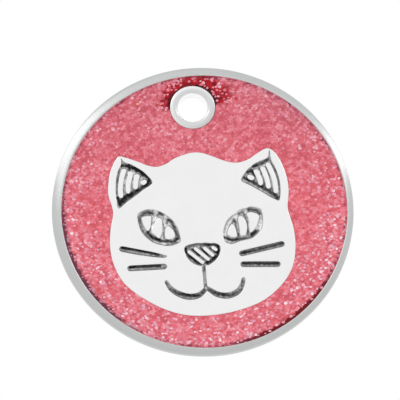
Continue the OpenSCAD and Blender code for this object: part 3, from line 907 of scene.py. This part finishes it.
# the darkness of each ink's rest, then broad strokes where it lies thicker and in part painted shade, as
# (shade, half width in mm, places in shares of the groove's own width and height from its middle)
inkStrokes = {
    "left_ear_ink": (0.3, [
        ("dark", 0.17, (-0.25, 0.36), (-0.05, 0.33), (0.2, 0.22), (0.4, 0.08)),
        ("black", 0.12, (-0.07, 0.36), (-0.06, 0.26)),
        ("dark", 0.12, (0.1, 0.3), (0.11, 0.21)),
        ("black", 0.16, (0.25, 0.23), (0.27, 0.14)),
        ("black", 0.18, (0.42, 0.03), (0.4, -0.02)),
        ("dark", 0.22, (0.45, -0.06), (0.2, -0.14), (-0.05, -0.24), (-0.4, -0.42)),
        ("black", 0.2, (-0.05, -0.22), (-0.26, -0.28), (-0.38, -0.38)),
        ("black", 0.14, (-0.46, -0.28), (-0.42, -0.42)),
        ("grey", 0.11, (-0.33, 0.28), (-0.44, 0.0), (-0.47, -0.22))]),
    "right_ear_ink": (0.28, [
        ("dark", 0.13, (-0.4, 0.02), (-0.28, -0.04)),
        ("soft", 0.21, (-0.3, -0.03), (0.12, -0.24), (0.4, -0.43)),
        ("dark", 0.18, (0.36, -0.42), (0.42, -0.44)),
        ("dark", 0.15, (-0.3, 0.12), (-0.2, 0.15), (-0.15, 0.04)),
        ("soft", 0.16, (-0.14, 0.22), (0.05, 0.25), (0.25, 0.32)),
        ("grey", 0.1, (0.3, 0.3), (0.41, 0.12), (0.47, -0.12), (0.46, -0.38)),
        ("grey", 0.09, (0.0, 0.22), (0.09, -0.18)),
        ("grey", 0.09, (0.18, 0.24), (0.28, -0.3))]),
    "left_eye_ink": (0.1, [
        ("soft", 0.17, (-0.38, 0.38), (-0.25, 0.43), (-0.12, 0.4)),
        ("grey", 0.14, (-0.45, 0.32), (-0.42, 0.0), (-0.2, -0.34)),
        ("dark", 0.15, (-0.28, -0.1), (-0.2, -0.22), (0.0, -0.33)),
        ("soft", 0.13, (0.0, -0.33), (0.32, -0.39)),
        ("dark", 0.14, (0.34, -0.38), (0.44, -0.3)),
        ("soft", 0.13, (0.24, 0.2), (0.33, 0.12), (0.43, -0.25)),
        ("grey", 0.1, (-0.1, -0.41), (0.1, -0.47), (0.42, -0.42)),
        ("grey", 0.13, (0.0, 0.34), (0.06, 0.38), (0.12, 0.33)),
        ("grey", 0.11, (0.2, 0.12), (0.26, 0.19)),
        ("faint", 0.1, (0.13, 0.25), (0.1, -0.28)),
        ("faint", 0.09, (-0.13, 0.28), (-0.22, -0.04))]),
    "right_eye_ink": (0.1, [
        ("dark", 0.12, (-0.48, -0.28), (-0.3, -0.38), (0.0, -0.37)),
        ("soft", 0.13, (0.0, -0.37), (0.15, -0.36), (0.34, -0.18)),
        ("dark", 0.11, (0.18, -0.29), (0.3, -0.18)),
        ("soft", 0.14, (0.18, 0.43), (0.38, 0.38), (0.42, 0.3)),
        ("soft", 0.11, (-0.22, 0.13), (-0.19, 0.19), (-0.17, 0.1)),
        ("grey", 0.12, (-0.07, 0.33), (0.03, 0.38)),
        ("grey", 0.1, (0.05, 0.34), (0.1, 0.1), (0.1, -0.3)),
        ("grey", 0.1, (-0.18, 0.05), (-0.14, -0.3)),
        ("grey", 0.1, (-0.24, 0.1), (-0.32, -0.02)),
        ("faint", 0.14, (-0.44, -0.42), (-0.2, -0.46))]),
    "nose_ink": (0.4, [
        ("black", 0.13, (-0.46, 0.32), (-0.45, 0.15)),
        ("dark", 0.11, (-0.42, 0.05), (-0.28, -0.16), (-0.1, -0.45)),
        ("dark", 0.09, (-0.28, 0.28), (-0.1, -0.05)),
        ("dark", 0.09, (-0.05, 0.32), (0.02, 0.15), (0.17, -0.13)),
        ("dark", 0.12, (0.08, 0.4), (0.38, 0.35)),
        ("dark", 0.09, (0.2, 0.28), (0.38, 0.02)),
        ("black", 0.13, (0.43, 0.3), (0.45, 0.1), (0.38, -0.12)),
        ("black", 0.18, (0.38, -0.12), (0.25, -0.25), (0.08, -0.38))]),
    "mouth_ink": (0.2, [
        ("soft", 0.19, (-0.44, -0.08), (-0.35, -0.22), (-0.2, -0.3), (-0.08, -0.34), (-0.02, -0.2)),
        ("soft", 0.19, (0.03, -0.2), (0.13, -0.33), (0.3, -0.41), (0.4, -0.34), (0.44, -0.27)),
        ("grey", 0.11, (-0.485, 0.12), (-0.44, -0.08)),
        ("grey", 0.11, (0.44, -0.26), (0.47, 0.0)),
        ("grey", 0.14, (-0.4, -0.25), (-0.25, -0.38), (-0.1, -0.4)),
        ("grey", 0.14, (0.08, -0.4), (0.28, -0.46)),
        ("grey", 0.11, (0.01, 0.5), (0.01, 0.38)),
        ("faint", 0.1, (0.01, 0.38), (0.0, 0.0))]),
    "upper_left_whisker_ink": (0.25, [
        ("dark", 0.12, (-0.43, 0.43), (-0.25, 0.3)),
        ("soft", 0.13, (-0.25, 0.3), (-0.1, 0.18), (0.32, -0.22)),
        ("grey", 0.12, (-0.46, 0.26), (0.0, -0.12), (0.2, -0.28)),
        ("faint", 0.13, (0.32, -0.22), (0.46, -0.42))]),
    "lower_left_whisker_ink": (0.3, [
        ("dark", 0.12, (-0.43, 0.33), (-0.3, 0.3)),
        ("soft", 0.14, (-0.3, 0.3), (0.33, 0.15)),
        ("grey", 0.12, (-0.45, -0.15), (0.45, -0.22))]),
    "upper_right_whisker_ink": (0.4, [
        ("dark", 0.12, (-0.44, -0.2), (-0.25, -0.1)),
        ("soft", 0.15, (-0.25, -0.1), (-0.1, -0.03), (0.45, 0.33)),
        ("grey", 0.12, (-0.4, -0.36), (0.4, 0.06))]),
    "lower_right_whisker_ink": (0.4, [
        ("soft", 0.15, (-0.42, 0.34), (0.43, -0.08)),
        ("dark", 0.11, (0.36, 0.0), (0.43, -0.08)),
        ("grey", 0.12, (-0.45, 0.07), (0.38, -0.3))]),
}


def inkAt(name, at, loops, v):
    # depth and darkness of the ink at each point, from its nearest wall and the strokes
    rest, strokes = inkStrokes[name]
    walls = np.concatenate(loops)
    away = np.concatenate([outward(loops[0])] + [-outward(bar) for bar in loops[1:]])
    room = np.concatenate(gapsWithin(loops))
    gap = abs(at[:, None] - walls[None, :])
    near, gap = gap.argmin(axis=1), gap.min(axis=1)
    level = v["climb"] + (v["level"] - v["climb"]) * np.minimum(1, room[near] / v["fullWidth"]) ** 1.5
    depth = level - (level - v["climb"]) * np.maximum(0, 1 - gap / v["meniscus"]) ** 2
    # a stroke falls to a half at its half width, as a Gaussian, and the darkest one counts
    corner, far = boxCorners(loops[0])
    middle, span = (corner + far) / 2, far - corner
    laid = np.full(len(at), rest)
    for shade, half, *stops in strokes:
        places = [middle + span.real * x + 1j * span.imag * z for x, z in stops]
        for start, end in zip(places, places[1:]):
            t = np.clip(((at - start) * np.conj(end - start)).real / abs(end - start) ** 2, 0, 1)
            off = abs(at - start - t * (end - start))
            laid = np.maximum(laid, inkShades[shade] * np.exp(-0.7 * (off / half) ** 2))
    # painted shade under a groove's upper wall and painted light above its lower one
    wallShading = away[near].imag * np.exp(-(gap / v["wallShadeReach"]) ** 2)
    return depth, np.clip(laid * (1 + v["lean"] * wallShading), 0, 1)


def buildInk(name, pieceName, loops, v):
    # a top from wall to wall, as deep as inkAt says, over a hidden wall and floor
    low, step = tagBody["grooveDepth"], v["gridStep"]
    reach = v["meniscus"] * np.array(v["rings"])
    patches, hidden, ends, walls = [], [], [], []
    for k, (loop, room) in enumerate(zip(loops, gapsWithin(loops))):
        side = 1 if k else -1
        rings = [shifted(loop, side * d, room) for d in reach]
        hidden.append(strip([atDepth(loop, low), atDepth(loop, v["climb"])], False))
        patches.append(strip([atDepth(l, 0) for l in rings]))
        ends.append(rings[-1])
        walls.append(shifted(loop, side * (reach[-1] + 0.4 * step), room))      # clear of the last ring
    corner, far = boxCorners(loops[0])
    rows, columns = np.mgrid[corner.imag:far.imag:step, corner.real:far.real:step]
    spots = (columns + 1j * rows).ravel()
    patches.append(filled(ends, 0, spots[inside(spots, walls)], True))
    darkness = []
    for points, _, _ in patches:
        depth, dark = inkAt(name, frontPlace(points), loops, v)
        points[:, 1] = frontY + depth
        darkness.append(dark)
    hidden.append(filled(loops, low))
    darkness += [inkAt(name, frontPlace(points), loops, v)[1] for points, _, _ in hidden]
    return makePiece(pieceName, patches + hidden, {"cover": darkness})


inkFinish = {
    "bare": 236,           # the floor of a groove where no ink is left, as a grey on a screen
    "black": 8,
    "speckle": 0.4,
    "blotches": 0.8,
    "bareRange": (0.1, 0.6),    # cover over which the bare metal goes
    "roughness": 0.30,
    "grainRoughness": 0.2,
    "specular": 0.12,
    "bump": (0.3, 0.00001),
}


def blackInk(v):
    made, tree, surface = newMaterial("blackInk")
    marks = useGroup(tree, grain, {"Grain Scale": 16000.0, "Patch Scale": 4200.0})
    cover = scaled(tree, centred(tree, marks["Grain"]), v["speckle"], attribute(tree, "cover"))
    cover = scaled(tree, centred(tree, marks["Patches"]), v["blotches"], cover)
    # nine even steps on the screen from bare metal to full ink
    greys = np.linspace(v["bare"], v["black"], 9).tolist()
    stops = [(k / 8, screenColour(g, g, g)) for k, g in enumerate(greys)]
    bare = maths(tree, "SUBTRACT", 1.0, gentle(tree, cover, *v["bareRange"]))
    rough = scaled(tree, marks["Grain"], v["grainRoughness"], v["roughness"] - v["grainRoughness"] / 2)
    feed(tree, surface, {"Base Color": ramp(tree, cover, stops), "Metallic": bare, "Roughness": rough,
                         "Specular IOR Level": v["specular"],
                         "Normal": bumps(tree, marks["Patches"], *v["bump"])})
    return made


inkPaint = blackInk(inkFinish)
for nodeName, loops in inkLoops.items():
    words = nodeName.split("_")
    piece = buildInk(nodeName, words[0] + "".join(w.capitalize() for w in words[1:]), loops, ink)
    piece.data.materials.append(inkPaint)
    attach(piece, "root")
    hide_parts(nodeName)
print("ink laid in the grooves")

# lamps, world and floor

studio = {
    "worldFill": 0.96,     # strength of the white surround for diffuse rays
    "floorZ": -800.0,
    "floorHalf": 2000.0,
    "floorColour": (0.9, 0.9, 0.9),
    "floorRoughness": 0.9,
    "floorGlow": 0.9,      # share of plain white that the floor shows to the camera and to reflections
    "lamps": {             # middles of its front and back ends, width in mm, watts
        "leftStrip": ((-121, -345, 203), (-298, 150, 290), 140, 0.23),
        "rightStrip": ((190, -340, 151), (325, 190, 189), 80, 0.17),
        "frontSoftbox": ((-60, -390, 330), (-60, -130, 330), 260, 0.02),
    },
}


def seenDirectly(tree):
    # 1 for rays from the camera, from reflections and through glass, 0 for diffuse light
    rays = put(tree, "LightPath").outputs
    both = maths(tree, "MAXIMUM", rays["Is Camera Ray"], rays["Is Glossy Ray"])
    return maths(tree, "MAXIMUM", both, rays["Is Transmission Ray"])


def whiteWorld(v):
    world = bpy.data.worlds.new("whiteSurround")
    scene.world = world
    world.use_nodes = True
    tree = world.node_tree
    tree.nodes.clear()
    fill = put(tree, "Background", {"Color": (1, 1, 1, 1), "Strength": v["worldFill"]})
    white = put(tree, "Background", {"Color": (1, 1, 1, 1), "Strength": 1.0})
    mix = put(tree, "MixShader", {0: seenDirectly(tree), 1: fill.outputs[0], 2: white.outputs[0]})
    put(tree, "OutputWorld", {0: mix.outputs[0]})


def hangLamps(v):
    for name, (front, back, width, watts) in v["lamps"].items():
        front, back = Vector(front) / 1000, Vector(back) / 1000
        spot, along = (front + back) / 2, (back - front).normalized()
        ahead = Vector((0, 0, discZ / 1000)) - spot
        ahead = (ahead - along * ahead.dot(along)).normalized()      # it faces the disc
        lamp = bpy.data.lights.new(name, "AREA")
        lamp.shape, lamp.energy = "RECTANGLE", watts
        lamp.size, lamp.size_y = width / 1000, (back - front).length
        holder = bpy.data.objects.new(name, lamp)
        turn = Matrix((along.cross(-ahead), along, -ahead)).transposed()
        holder.matrix_world = Matrix.Translation(spot) @ turn.to_4x4()
        scene.collection.objects.link(holder)


def layFloor(v):
    h, z = v["floorHalf"] / 1000, v["floorZ"] / 1000
    mesh = bpy.data.meshes.new("floor")
    mesh.from_pydata([(-h, -h, z), (h, -h, z), (h, h, z), (-h, h, z)], [], [(0, 1, 2, 3)])
    floor = bpy.data.objects.new("floor", mesh)
    scene.collection.objects.link(floor)
    paint, tree, surface = newMaterial("floorPaint")
    feed(tree, surface, {"Base Color": (*v["floorColour"], 1), "Roughness": v["floorRoughness"]})
    glow = put(tree, "Emission", {"Color": (1, 1, 1, 1), "Strength": 1.0})
    share = maths(tree, "MULTIPLY", seenDirectly(tree), v["floorGlow"])
    mix = put(tree, "MixShader", {0: share, 1: surface.outputs[0], 2: glow.outputs[0]})
    feed(tree, tree.nodes["Material Output"], {0: mix.outputs[0]})
    mesh.materials.append(paint)


whiteWorld(studio)
hangLamps(studio)
layFloor(studio)
print("studio lit")
